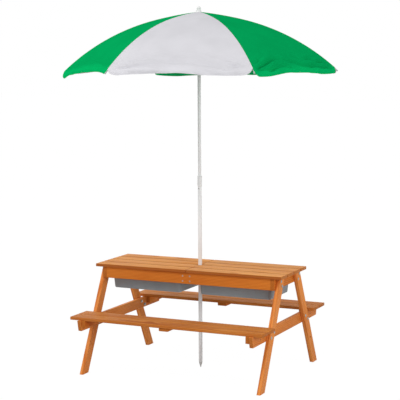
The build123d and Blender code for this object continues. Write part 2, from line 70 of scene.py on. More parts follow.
class Grain(Enum):
    """The way that a board's grain runs."""

    LENGTH = "along the table"
    WIDTH = "across the table"
    FRONT_LEG = "up a front leg"
    BACK_LEG = "up a back leg"

    def axis(self) -> Vector:
        """Unit vector along the grain."""
        splay = math.radians(26.5)
        return {
            Grain.LENGTH: Vector((1, 0, 0)),
            Grain.WIDTH: Vector((0, 1, 0)),
            Grain.FRONT_LEG: Vector((0, math.sin(splay), math.cos(splay))),
            Grain.BACK_LEG: Vector((0, -math.sin(splay), math.cos(splay))),
        }[self]

    def turn(self) -> Triple:
        """Euler angles of a frame whose x runs along the grain."""
        along = self.axis()
        side = Vector((1, 0, 0)) if abs(along.x) < 0.5 else Vector((0, 1, 0))
        return tuple(Matrix((along, side, along.cross(side))).transposed().to_euler())


class Shader:
    """A material under construction, with short calls for its nodes."""

    def __init__(self, name: str) -> None:
        """Starts a material of that name with one Principled shader."""
        self.material = bpy.data.materials.new(name)
        self.material.use_nodes = True
        self.tree = self.material.node_tree
        self.surface = self.tree.nodes["Principled BSDF"]

    def node(self, kind: str, **settings: object) -> bpy.types.Node:
        """Adds a node.

        Args:
            kind: the node's type, without its leading ShaderNode.
            settings: its properties, and as inputs the values or links of its sockets.

        Returns:
            The new node.
        """
        made = self.tree.nodes.new("ShaderNode" + kind)
        inputs = settings.pop("inputs", {})
        for key, value in settings.items():
            setattr(made, key, value)
        for key, value in inputs.items():
            self.feed(made.inputs[key], value)
        return made

    def feed(self, socket: bpy.types.NodeSocket, value: object) -> None:
        """Links a socket to another, or sets its value."""
        if isinstance(value, bpy.types.NodeSocket):
            self.tree.links.new(value, socket)
        elif isinstance(value, tuple) and len(value) == 3 and socket.type == "RGBA":
            socket.default_value = (*value, 1)
        else:
            socket.default_value = value

    def maths(self, operation: str, *values: object) -> bpy.types.NodeSocket:
        """Result of a Math node on up to three values or links."""
        made = self.node("Math", operation=operation)
        for index, value in enumerate(values):
            self.feed(made.inputs[index], value)
        return made.outputs[0]

    def vector(self, operation: str, *values: object, out: int = 0) -> bpy.types.NodeSocket:
        """Result of a Vector Math node."""
        made = self.node("VectorMath", operation=operation)
        for index, value in enumerate(values):
            self.feed(made.inputs[index], value)
        return made.outputs[out]

    def ramp(self, value: object, stops: Sequence[tuple[float, Colour]]) -> bpy.types.NodeSocket:
        """Colour of a ramp with those stops at a value."""
        made = self.node("ValToRGB")
        elements = made.color_ramp.elements
        while len(elements) < len(stops):
            elements.new(0.5)
        for element, (place, colour) in zip(elements, stops):
            element.position = place
            element.color = (*colour, 1)
        self.feed(made.inputs[0], value)
        return made.outputs[0]

    def span(
        self, value: object, low: float, high: float, to: tuple[float, float] = (0, 1)
    ) -> bpy.types.NodeSocket:
        """A value taken from one range to another with soft ends."""
        made = self.node("MapRange", interpolation_type="SMOOTHSTEP")
        for index, item in enumerate((value, low, high, *to)):
            self.feed(made.inputs[index], item)
        return made.outputs[0]

    def mix(self, share: object, first: object, second: object) -> bpy.types.NodeSocket:
        """Colour between two, by a share."""
        made = self.node("Mix", data_type="RGBA")
        self.feed(made.inputs[0], share)
        self.feed(made.inputs[6], first)
        self.feed(made.inputs[7], second)
        return made.outputs[2]

    def lit(self, colour: object, share: object) -> bpy.types.NodeSocket:
        """A colour made lighter or darker by a factor."""
        made = self.node("VectorMath", operation="SCALE")
        self.feed(made.inputs[0], colour)
        self.feed(made.inputs["Scale"], share)
        return made.outputs[0]

    def stretched(self, place: object, factors: Triple | Vector) -> bpy.types.NodeSocket:
        """A place scaled along each axis, so that a pattern on it is that much finer."""
        return self.vector("MULTIPLY", place, Vector(factors))

    def noise(
        self, place: object, scale: float, detail: float = 2, rough: float = 0.5
    ) -> bpy.types.NodeSocket:
        """Value of a noise texture at a place."""
        inputs = {"Vector": place, "Scale": scale, "Detail": detail, "Roughness": rough}
        return self.node("TexNoise", inputs=inputs).outputs[0]

    def bump(self, height: object, distance: float, strength: float = 1.0) -> None:
        """Gives the surface a relief of that height."""
        inputs = {"Height": height, "Distance": distance, "Strength": strength}
        self.feed(self.surface.inputs["Normal"], self.node("Bump", inputs=inputs).outputs[0])

    def set(self, **values: object) -> "Shader":
        """Sets the surface's inputs, named with _ for a space."""
        for key, value in values.items():
            self.feed(self.surface.inputs[key.replace("_", " ")], value)
        return self


@dataclass(frozen=True)
class TimberFinish:
    """Stained softwood: growth rings, fibres, knots, darker end grain and painted shade along the
    long edges.

    Its factors say how fine a pattern is along a board, across it and through it.
    """

    name: str
    early: Colour
    late: Colour
    # The edge colour, width and share paint shade along a board's long edges, for the shadow in
    # the gaps between boards.
    edge: Colour = linear(180, 96, 32)
    gap_shade_width: float = 3 * MM
    gap_shade_share: float = 0.3
    end: Colour = linear(172, 96, 34)
    end_share: float = 0.75
    knot: Colour = linear(112, 54, 20)
    knot_factors: Triple = (4.2, 9, 9)
    spot_reach: tuple[float, float] = (3 * MM, 6 * MM)
    ring_spacing: float = 6.5 * MM
    bulge: float = 9 * MM
    wander: float = 10 * MM
    drift_factors: Triple = (3, 9, 9)
    cloud_factors: Triple = (3, 12, 12)
    fibre_factors: Triple = (14, 900, 900)
    relief: float = 0.12 * MM

    def material(
        self, node: str, grain: Grain, seed: int, spots: Sequence[Vector] = ()
    ) -> bpy.types.Material:
        """Makes the wood of one board.

        Args:
            node: the board's CAD node, whose middle centres the pattern.
            grain: the way that the board's grain runs.
            seed: a number that gives the board its own piece of the tree.
            spots: places of small dark knots on the board.

        Returns:
            The board's own material.
        """
        made = Shader(f"{self.name}_{node}")
        low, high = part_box(node)
        coordinates = made.node("TexCoord")
        inputs = {"Vector": coordinates.outputs["Object"]}
        local = made.node("Mapping", vector_type="TEXTURE", inputs=inputs)
        local.inputs["Location"].default_value = (low + high) / 2
        local.inputs["Rotation"].default_value = grain.turn()
        chance = np.random.default_rng(seed)
        shift = Vector((chance.uniform(0, 9), chance.uniform(-0.02, 0.02), 0))
        pith = Vector((0, chance.uniform(-0.05, 0.05), -chance.uniform(0.03, 0.09)))
        place = made.vector("ADD", local.outputs[0], shift)
        cells = made.stretched(place, self.knot_factors)
        cells = made.node("TexVoronoi", inputs={"Vector": cells, "Scale": 1.0})
        from_knot = cells.outputs["Distance"]
        rings = self._rings(made, place, pith, from_knot)
        fibres = made.noise(made.stretched(place, self.fibre_factors), 1.0, 3, 0.6)
        tone = self._tone(made, place, rings, fibres)
        core = made.span(from_knot, 0.045, 0.1, (1, 0))
        for spot in spots:
            away = made.vector("DISTANCE", coordinates.outputs["Object"], spot, out=1)
            core = made.maths("MAXIMUM", core, made.span(away, *self.spot_reach, (1, 0)))
        tone = made.mix(core, tone, self.knot)
        # Boards along or across the table get painted shade along their long edges.
        if grain in (Grain.LENGTH, Grain.WIDTH):
            width = (high - low)[1 if grain is Grain.LENGTH else 0]
            tone = self._painted_gap_shade(made, local.outputs[0], width, tone)
        facing = made.vector("DOT_PRODUCT", coordinates.outputs["Normal"], grain.axis(), out=1)
        end = made.span(made.maths("ABSOLUTE", facing), 0.6, 0.9)
        tone = made.mix(made.maths("MULTIPLY", end, self.end_share), tone, self.end)
        relief = made.maths("ADD", made.maths("MULTIPLY", rings, 0.4), fibres)
        made.bump(relief, self.relief, 0.6)
        rough = made.span(fibres, 0.2, 0.8, (0.5, 0.66))
        made.set(Base_Color=tone, Roughness=rough, Specular_IOR_Level=0.12)
        return made.material

    def _rings(
        self, made: Shader, place: object, pith: Vector, from_knot: object
    ) -> bpy.types.NodeSocket:
        """Growth rings, which wander along the board and swell round its knots.

        Args:
            made: the material.
            place: the place in the board.
            pith: how far off the middle of the tree is.
            from_knot: distance from the nearest knot.

        Returns:
            A link that rises from 0 to 1 over each ring.
        """
        inputs = {"Vector": made.stretched(place, self.drift_factors), "Scale": 1.0, "Detail": 1.5}
        drift = made.node("TexNoise", inputs=inputs).outputs["Color"]
        swing = made.vector("SUBTRACT", drift, Vector((0.5, 0.5, 0.5)))
        swing = made.stretched(swing, Vector((0, 2, 2)) * self.wander)
        bulge = made.span(from_knot, 0.02, 0.34, (self.bulge, 0))
        swell = made.node("CombineXYZ", inputs={"Z": bulge})
        across = made.vector("ADD", made.vector("ADD", place, swing), pith)
        inputs = {
            "Vector": made.vector("ADD", across, swell.outputs[0]),
            "Scale": math.tau / 20 / self.ring_spacing,
            "Distortion": 1.6,
            "Detail": 2.0,
            "Detail Scale": 0.12,
        }
        kind = {"wave_type": "RINGS", "rings_direction": "X", "wave_profile": "SAW"}
        return made.node("TexWave", **kind, inputs=inputs).outputs["Fac"]

    def _tone(
        self, made: Shader, place: object, rings: object, fibres: object
    ) -> bpy.types.NodeSocket:
        """Colour of the rings under patches of darker stain, streaked by the fibres."""
        stops = ((0.0, self.early), (0.45, self.early), (0.86, self.late), (1.0, self.early))
        clouds = made.noise(made.stretched(place, self.cloud_factors), 1.0)
        patches = made.span(clouds, 0.35, 0.7, (0.0, 0.5))
        tone = made.mix(patches, made.ramp(rings, stops), self.late)
        return made.lit(tone, made.span(fibres, 0.3, 0.7, (0.86, 1.08)))

    def _painted_gap_shade(
        self, made: Shader, local: object, width: float, tone: object
    ) -> bpy.types.NodeSocket:
        """Paints shade along the long edges of a board of that width, for the shadow in the gaps
        between boards.
        """
        off = made.maths("ABSOLUTE", made.node("SeparateXYZ", inputs={"Vector": local}).outputs[1])
        shade_band = made.span(off, width / 2 - self.gap_shade_width, width / 2 - 0.2 * self.gap_shade_width)
        return made.mix(made.maths("MULTIPLY", shade_band, self.gap_shade_share), tone, self.edge)


@dataclass(frozen=True)
class PlasticFinish:
    """Moulded plastic with a fine spark-eroded grain."""

    name: str
    colour: Colour
    rough: float = 0.42
    cloud_scale: float = 9.0
    cloud_share: float = 0.12
    grain: float = 0.05 * MM
    grain_scale: float = 1400.0

    def material(self) -> bpy.types.Material:
        """Makes the plastic."""
        made = Shader(self.name)
        place = made.node("TexCoord").outputs["Object"]
        cloud = made.noise(place, self.cloud_scale, 3)
        tone = made.mix(made.span(cloud, 0.3, 0.7, (0, self.cloud_share)), self.colour, BLACK)
        made.bump(made.noise(place, self.grain_scale), self.grain, 0.5)
        rough = made.span(cloud, 0.3, 0.7, (self.rough, self.rough + 0.1))
        made.set(Base_Color=tone, Roughness=rough)
        return made.material


@dataclass(frozen=True)
class MetalFinish:
    """Steel, plated bare or under a coat of powder paint."""

    name: str
    colour: Colour
    rough: float
    bare: float = 0.0
    smear: Colour = (0.05, 0.05, 0.05)
    smear_share: float = 0.1
    smear_factors: Triple = (30, 30, 6)
    peel: float = 0.06 * MM
    peel_scale: float = 700.0

    def material(self) -> bpy.types.Material:
        """Makes the metal."""
        made = Shader(self.name)
        place = made.node("TexCoord").outputs["Object"]
        smear = made.noise(made.stretched(place, self.smear_factors), 1.0, 3)
        share = made.span(smear, 0.35, 0.75, (0, self.smear_share))
        tone = made.mix(share, self.colour, self.smear)
        made.bump(made.noise(place, self.peel_scale, 1), self.peel, 0.35)
        rough = made.span(smear, 0.3, 0.7, (self.rough, self.rough + 0.12))
        made.set(Base_Color=tone, Metallic=self.bare, Roughness=rough)
        return made.material


@dataclass(frozen=True)
class ClothFinish:
    """Plain-woven canopy cloth, with lock stitches beside its seams and hem, and painted light
    towards the hem.
    """

    name: str
    colour: Colour
    thread: Colour
    pitch: float = 0.9 * MM
    slub_factors: Triple = (40, 1500, 1)
    fold: tuple[float, float] = (8.2 * MM, 9.6 * MM)
    # The hem light and its reach paint the frill lighter, a painted highlight where it faces the
    # lamps.
    painted_hem_light: float = 1.05
    painted_hem_reach: tuple[float, float] = (18 * MM, 52 * MM)
    seam_inset: float = 5 * MM
    hem_inset: float = 7 * MM
    stitch_half: float = 0.45 * MM
    stitch_pitch: float = 4.5 * MM
    stitch_share: float = 0.7

    def material(self) -> bpy.types.Material:
        """Makes the cloth. Its map is in metres: u from the rib's seam, v up from the hem."""
        made = Shader(self.name)
        flat = made.node("UVMap", uv_map="cloth").outputs[0]
        split = made.node("SeparateXYZ", inputs={"Vector": flat})
        from_seam, from_hem = split.outputs[0], split.outputs[1]
        warp, weft = (
            made.maths("SINE", made.maths("MULTIPLY", way, math.tau / self.pitch))
            for way in (from_seam, from_hem)
        )
        weave = made.maths("MULTIPLY", warp, weft)
        cloud = made.noise(made.node("TexCoord").outputs["Object"], 7.0, 3)
        slub = made.noise(made.stretched(flat, self.slub_factors), 1.0)
        tone = made.mix(made.span(cloud, 0.3, 0.7, (0, 0.07)), self.colour, BLACK)
        tone = made.mix(made.span(slub, 0.35, 0.75, (0, 0.1)), tone, self.thread)
        # Painted light: the cloth is made lighter towards the hem, where the hanging frill catches
        # the lamps.
        tone = made.lit(tone, made.span(from_hem, *self.painted_hem_reach, (self.painted_hem_light, 1.0)))
        seam = self._stitches(made, from_seam, from_hem, self.seam_inset)
        hem = self._stitches(made, from_hem, from_seam, self.hem_inset)
        sewn = made.maths("MAXIMUM", seam, hem)
        tone = made.mix(made.maths("MULTIPLY", sewn, 0.55), tone, self.thread)
        fold = made.span(from_hem, *self.fold, (1, 0))
        relief = made.maths("MULTIPLY_ADD", weave, 0.35, made.maths("MULTIPLY", fold, 2.0))
        made.bump(made.maths("SUBTRACT", relief, sewn), 0.15 * MM, 0.7)
        made.set(Base_Color=tone, Roughness=0.85, Specular_IOR_Level=0.0)
        return made.material

    def _stitches(
        self, made: Shader, across: object, along: object, inset: float
    ) -> bpy.types.NodeSocket:
        """Mask of a row of stitches, inset from the edge that its distances are taken from."""
        off = made.maths("ABSOLUTE", made.maths("SUBTRACT", across, inset))
        row = made.maths("LESS_THAN", off, self.stitch_half)
        step = made.maths("FRACT", made.maths("DIVIDE", along, self.stitch_pitch))
        return made.maths("MULTIPLY", row, made.maths("LESS_THAN", step, self.stitch_share))


# The top's boards carry a deep painted shade along their long edges, for the shadow in the gaps
# between its slats.
WOOD_TOP = TimberFinish(
    "top_wood",
    linear(244, 170, 92),
    linear(208, 124, 54),
    edge=linear(156, 78, 24),
    gap_shade_share=0.85,
)
WOOD_SEAT = TimberFinish("seat_wood", linear(222, 143, 68), linear(178, 94, 32))
WOOD_RAIL = TimberFinish("rail_wood", linear(236, 142, 52), linear(192, 96, 26))
WOOD_LEG = TimberFinish("leg_wood", linear(246, 158, 80), linear(204, 110, 42))
BOX_PLASTIC = PlasticFinish("box_plastic", linear(140, 150, 156))
WHITE_PLASTIC = PlasticFinish("white_fittings", linear(240, 240, 240), 0.32)
SPIKE_PLASTIC = PlasticFinish("spike_plastic", linear(206, 204, 200), 0.4)
POLE_PAINT = MetalFinish("pole_paint", linear(242, 242, 242), 0.3)
RIB_PAINT = MetalFinish("rib_paint", linear(176, 180, 180), 0.35)
ZINC = MetalFinish("zinc_plate", linear(172, 172, 168), 0.36, bare=1.0, peel=0.03 * MM)
DARK_STEEL = MetalFinish("dark_screws", linear(92, 70, 52), 0.45, bare=0.6, peel=0.02 * MM)
# The green cloth carries a strong painted highlight on its frill.
GREEN_CLOTH = ClothFinish("green_cloth", linear(4, 168, 92), linear(0, 120, 58), painted_hem_light=1.22)
WHITE_CLOTH = ClothFinish("white_cloth", linear(219, 218, 223), linear(196, 196, 202))


def only(*objects: bpy.types.Object) -> None:
    """Selects these objects alone, and makes the first one active."""
    bpy.ops.object.select_all(action="DESELECT")
    for item in objects:
        item.select_set(True)
    bpy.context.view_layer.objects.active = objects[0]


def apply_modifier(piece: bpy.types.Object, kind: str, **settings: object) -> None:
    """Adds a modifier to a piece and applies it.

    Args:
        piece: the piece to shape.
        kind: the modifier's type.
        settings: its properties.
    """
    only(piece)
    modifier = piece.modifiers.new(kind.lower(), kind)
    for key, value in settings.items():
        setattr(modifier, key, value)
    bpy.ops.object.modifier_apply(modifier=modifier.name)


def seat(piece: bpy.types.Object, body: str, finish: bpy.types.Material) -> None:
    """Dresses a finished piece and puts it on its body.

    Args:
        piece: the piece, in its place.
        body: the CAD body that it rides on.
        finish: its material.
    """
    piece.data.materials.clear()
    piece.data.materials.append(finish)
    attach(piece, body)
    log.info("piece %s on %s", piece.name, body)


WELD = 0.002 * MM
FLAT_ANGLE = math.radians(0.4)
SMOOTH_ANGLE = math.radians(32)


def eased_copy(node: str, ease: float, angle: float = 40.0) -> bpy.types.Object:
    """Copies a CAD node, joins its triangles and eases its sharp edges.

    Args:
        node: the CAD node that the copy stands for.
        ease: width of the eased edges, or 0 for none.
        angle: edges sharper than this, in degrees, are eased.

    Returns:
        The copy, which replaces the node.
    """
    mesh = bpy.data.meshes.new(f"{node}_eased")
    shape = bmesh.new()
    shape.from_mesh(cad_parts[node].data)
    bmesh.ops.remove_doubles(shape, verts=shape.verts, dist=WELD)
    bmesh.ops.dissolve_limit(shape, angle_limit=FLAT_ANGLE, verts=shape.verts, edges=shape.edges)
    shape.to_mesh(mesh)
    shape.free()
    piece = bpy.data.objects.new(f"{node}_piece", mesh)
    bpy.context.scene.collection.objects.link(piece)
    if ease:
        apply_modifier(
            piece,
            "BEVEL",
            width=ease,
            segments=2,
            limit_method="ANGLE",
            angle_limit=math.radians(angle),
            use_clamp_overlap=True,
        )
    only(piece)
    bpy.ops.object.shade_smooth_by_angle(angle=SMOOTH_ANGLE)
    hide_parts(node)
    return piece


@dataclass
class Carcass:
    """The timber frame with its legs, beams, benches and bolts."""

    body: str = "frame"
    ease: float = 0.8 * MM
    steel_ease: float = 0.15 * MM
    boards: dict[str, tuple[Grain, TimberFinish, str]] = field(default_factory=dict)
    knots: dict[str, Vector] = field(
        default_factory=lambda: {
            "leg_front_right": Vector((0.453, -0.328, 0.077)),
            "leg_back_right": Vector((0.453, 0.264, 0.132)),
        }
    )

    def __post_init__(self) -> None:
        """Lists every board with its grain, finish and slot."""
        for face in ("front", "back"):
            self.boards[f"apron_{face}"] = (Grain.LENGTH, WOOD_RAIL, "timber_frame")
            self.boards[f"box_ledge_{face}"] = (Grain.LENGTH, WOOD_RAIL, "timber_frame")
            for row in ("inner", "outer"):
                self.boards[f"bench_{face}_{row}_slat"] = (Grain.LENGTH, WOOD_SEAT, "timber_seats")
            for side in ("left", "right"):
                grain = Grain.FRONT_LEG if face == "front" else Grain.BACK_LEG
                self.boards[f"leg_{face}_{side}"] = (grain, WOOD_LEG, "timber_legs")
        for side in ("left", "right"):
            self.boards[f"end_rail_{side}"] = (Grain.WIDTH, WOOD_RAIL, "timber_frame")
            self.boards[f"seat_beam_{side}"] = (Grain.WIDTH, WOOD_LEG, "timber_frame")
        for node in ("centre_board", "seat_cleats", "bench_battens"):
            self.boards[node] = (Grain.WIDTH, WOOD_RAIL, "timber_frame")

    def build(self) -> None:
        """Eases and dresses the boards, and plates the bolts."""
        for seed, (node, (grain, finish, slot)) in enumerate(self.boards.items()):
            piece = eased_copy(node, self.ease)
            spots = [self.knots[node]] if node in self.knots else []
            seat(piece, self.body, finish.material(node, grain, seed + 11, spots))
        zinc = ZINC.material()
        for node in ("leg_bolts", "leg_washers", "leg_nuts"):
            seat(eased_copy(node, self.steel_ease), self.body, zinc)


@dataclass
class Screws:
    """Screw heads: four through each apron into the middle board, one through each beam's end."""

    radius: float = 3.6 * MM
    proud: float = 0.5 * MM
    sunk: float = 1.5 * MM
    rim: float = 0.3 * MM
    recess: Triple = (4.68 * MM, 1.1 * MM, 1.2 * MM)
    recess_turn: float = 0.35
    apron_face: float = 0.152
    apron_columns: tuple[float, float] = (-0.018, 0.018)
    apron_rows: tuple[float, float] = (0.437, 0.461)
    beam_face: float = 0.435
    beam_place: tuple[float, float] = (0.312, 0.236)

    def build(self) -> None:
        """Drives every screw."""
        plain, dark = ZINC.material(), DARK_STEEL.material()
        for side, face in ((-1, "front"), (1, "back")):
            places = [
                Vector((x, side * self.apron_face, z))
                for x in self.apron_columns
                for z in self.apron_rows
            ]
            self._set(f"apron_screws_{face}", places, Vector((0, side, 0)), plain)
        for side, end in ((-1, "left"), (1, "right")):
            places = [
                Vector((side * self.beam_face, face * self.beam_place[0], self.beam_place[1]))
                for face in (-1, 1)
            ]
            self._set(f"beam_screws_{end}", places, Vector((side, 0, 0)), dark)

    def _set(
        self, name: str, places: Sequence[Vector], out: Vector, finish: bpy.types.Material
    ) -> None:
        """Makes a set of heads that face one way.

        Args:
            name: the set's name.
            places: where the heads sit.
            out: the way that they face.
            finish: their material.
        """
        heads = [self._head(place, out) for place in places]
        only(*heads)
        bpy.ops.object.join()
        piece = bpy.context.object
        piece.name = name
        piece.data.name = name
        seat(piece, "frame", finish)

    def _head(self, place: Vector, out: Vector) -> bpy.types.Object:
        """Turns one flat head with a cross recess, and sets it in its place."""
        bpy.ops.mesh.primitive_cylinder_add(
            vertices=32, radius=self.radius, depth=self.sunk, location=(0, 0, 0)
        )
        head = bpy.context.object
        apply_modifier(head, "BEVEL", width=self.rim, segments=2, angle_limit=math.radians(50))
        for turn in (self.recess_turn, self.recess_turn + math.pi / 2):
            bpy.ops.mesh.primitive_cube_add(size=1, location=(0, 0, self.sunk / 2))
            cutter = bpy.context.object
            cutter.scale = self.recess
            cutter.rotation_euler = (0, 0, turn)
            bpy.context.view_layer.update()
            apply_modifier(head, "BOOLEAN", object=cutter, operation="DIFFERENCE", solver="EXACT")
            bpy.data.objects.remove(cutter)
        lift = self.proud - self.sunk / 2
        turned = out.to_track_quat("Z", "Y").to_matrix().to_4x4()
        head.data.transform(Matrix.Translation(place + out * lift) @ turned)
        return head


@dataclass
class Lid:
    """One lift-off lid: four slats on two battens."""

    side: str
    slats: int = 4
    ease: float = 0.8 * MM

    def build(self) -> None:
        """Eases and dresses the lid's boards."""
        body = f"lid_{self.side}"
        seed = 40 if self.side == "left" else 60
        for number in range(1, self.slats + 1):
            node = f"{body}_slat_{number}"
            finish = WOOD_TOP.material(node, Grain.LENGTH, seed + number)
            seat(eased_copy(node, self.ease), body, finish)
        node = f"{body}_battens"
        finish = WOOD_RAIL.material(node, Grain.WIDTH, seed + 9)
        seat(eased_copy(node, self.ease), body, finish)


@dataclass
class PlayBox:
    """One lift-out box for sand or water."""

    side: str
    ease: float = 0.7 * MM

    def build(self) -> None:
        """Eases and dresses the tray."""
        piece = eased_copy(f"sand_box_{self.side}", self.ease)
        seat(piece, f"box_{self.side}", BOX_PLASTIC.material())


@dataclass
class Pole:
    """The two tubes, the ground spike, the collar and the lock button."""

    steel_ease: float = 0.2 * MM
    plastic_ease: float = 0.3 * MM
    round_angle: float = 25

    def build(self) -> None:
        """Dresses each piece of the pole."""
        paint = POLE_PAINT.material()
        plastic = WHITE_PLASTIC.material()
        for node in ("lower_pole", "upper_pole"):
            seat(eased_copy(node, self.steel_ease), node, paint)
        spike = eased_copy("ground_spike", self.plastic_ease)
        seat(spike, "lower_pole", SPIKE_PLASTIC.material())
        collar = eased_copy("pole_collar", self.plastic_ease, self.round_angle)
        seat(collar, "lower_pole", plastic)
        button = eased_copy("lock_button", self.steel_ease, self.round_angle)
        seat(button, "button", ZINC.material())


@dataclass
class ShadeFrame:
    """Hub, knob, runner, ribs and stretchers of the sunshade."""

    ribs: int = 6
    steel_ease: float = 0.2 * MM
    pin_ease: float = 0.1 * MM
    plastic_ease: float = 0.3 * MM
    knob_ease: float = 0.4 * MM
    knob_angle: float = 50

    def build(self) -> None:
        """Dresses the folding frame."""
        plastic = WHITE_PLASTIC.material()
        paint = RIB_PAINT.material()
        seat(eased_copy("crown_hub", self.plastic_ease), "upper_pole", plastic)
        knob = eased_copy("crown_knob", self.knob_ease, self.knob_angle)
        seat(knob, "upper_pole", plastic)
        seat(eased_copy("rib_pins", self.pin_ease), "upper_pole", paint)
        seat(eased_copy("runner", self.plastic_ease), "runner", plastic)
        for number in range(1, self.ribs + 1):
            for kind in ("rib", "stretcher"):
                name = f"{kind}_{number}"
                seat(eased_copy(name, self.steel_ease), name, paint)


@dataclass
class RibCurve:
    """The arc that a rib bends to, in its own upright plane."""

    pivot: tuple[float, float] = (15 * MM, 1652 * MM)
    tip: tuple[float, float] = (629 * MM, 1399 * MM)
    bow: float = 58 * MM

    def __post_init__(self) -> None:
        """Works out the arc."""
        run, fall = self.tip[0] - self.pivot[0], self.pivot[1] - self.tip[1]
        self.chord = math.hypot(run, fall)
        self.pitch = math.atan2(fall, run)
        self.radius = (self.chord**2 / 4 + self.bow**2) / (2 * self.bow)
        self.half = math.asin(self.chord / 2 / self.radius)
        self.length = 2 * self.half * self.radius

    def at(self, share: np.ndarray, lift: float = 0.0) -> tuple[np.ndarray, np.ndarray]:
        """Radius and height on the arc.

        Args:
            share: places from 0 at the crown to 1 at the tip.
            lift: height above the arc.

        Returns:
            Distances from the pole, and heights.
        """
        turn = self.half * (2 * share - 1)
        along = self.chord / 2 + (self.radius + lift) * np.sin(turn)
        out = (self.radius + lift) * np.cos(turn) - self.radius * math.cos(self.half)
        return (
            self.pivot[0] + along * math.cos(self.pitch) + out * math.sin(self.pitch),
            self.pivot[1] - along * math.sin(self.pitch) + out * math.cos(self.pitch),
        )


@dataclass(frozen=True)
class Gore:
    """One panel of the canopy.

    Its rise is how far, in mm, the hem is drawn up at seven places from one rib to the next, its
    corners are the shares of a half gore over which the frill runs out at the two ribs, its
    slack is how deep its folds are, and its droop is how much deeper the frill hangs by the first
    rib.
    """

    green: bool
    rise: tuple[float, ...]
    corners: tuple[float, float] = (0.14, 0.14)
    slack: float = 1.0
    frill: float = 29 * MM
    droop: float = 0.0


@dataclass(frozen=True)
class Wrinkles:
    """How the slack cloth lies, with heights in mm.

    Waves run over a gore's lower half, folds roll along its hem, its frill flaps, and more folds
    fan out from the ribs' tips.
    """

    broad: float = 3.4
    fine: float = 3.0
    roll: float = 3.6
    roll_place: float = 30 * MM
    roll_width: float = 42 * MM
    roll_sway: float = 9
    flap: float = 6.5
    fan: float = 8.5
    fan_angle: float = 0.2
    fan_spread: float = 0.28
    fan_folds: float = 21
    fan_start: float = 0.07
    fan_reach: float = 0.36

    def low_waves(self, across: float, low: float, number: int) -> float:
        """Height of the waves in the lower half of a gore."""
        broad = noise.noise(Vector((across * 2.6, low * 2.2, number * 7.3)))
        fine = noise.noise(Vector((across * 8 + low, low * 2, number * 3.1)))
        return low**2 * self.broad * broad + low**3 * self.fine * fine

    def hem_roll(self, across: float, above: float, number: int) -> float:
        """Height of the slack folds that lie along the hem."""
        slack = math.exp(-(((above - self.roll_place) / self.roll_width) ** 2))
        sway = self.roll_sway * noise.noise(Vector((across * 1.5, number * 9.4, 2)))
        return self.roll * slack * math.sin(above * math.tau / self.roll_width + sway)

    def frill_flap(self, across: float, hang: float, number: int) -> float:
        """Height of the frill's own waves."""
        return self.flap * hang * noise.noise(Vector((across * 7, hang * 0.8, number * 5.7 + 40)))

    def tip_fan(self, run: float, rise: float, phase: float) -> float:
        """Height of the folds from a rib's tip, at a run along the hem and a rise above it."""
        away = math.hypot(run, rise)
        angle = math.atan2(rise, max(run, 1 * MM))
        near = min(1.0, away / self.fan_start) * max(0.0, 1 - away / self.fan_reach) ** 1.5
        spread = math.exp(-(((angle - self.fan_angle) / self.fan_spread) ** 2))
        return self.fan * near * spread * math.sin(angle * self.fan_folds + phase)


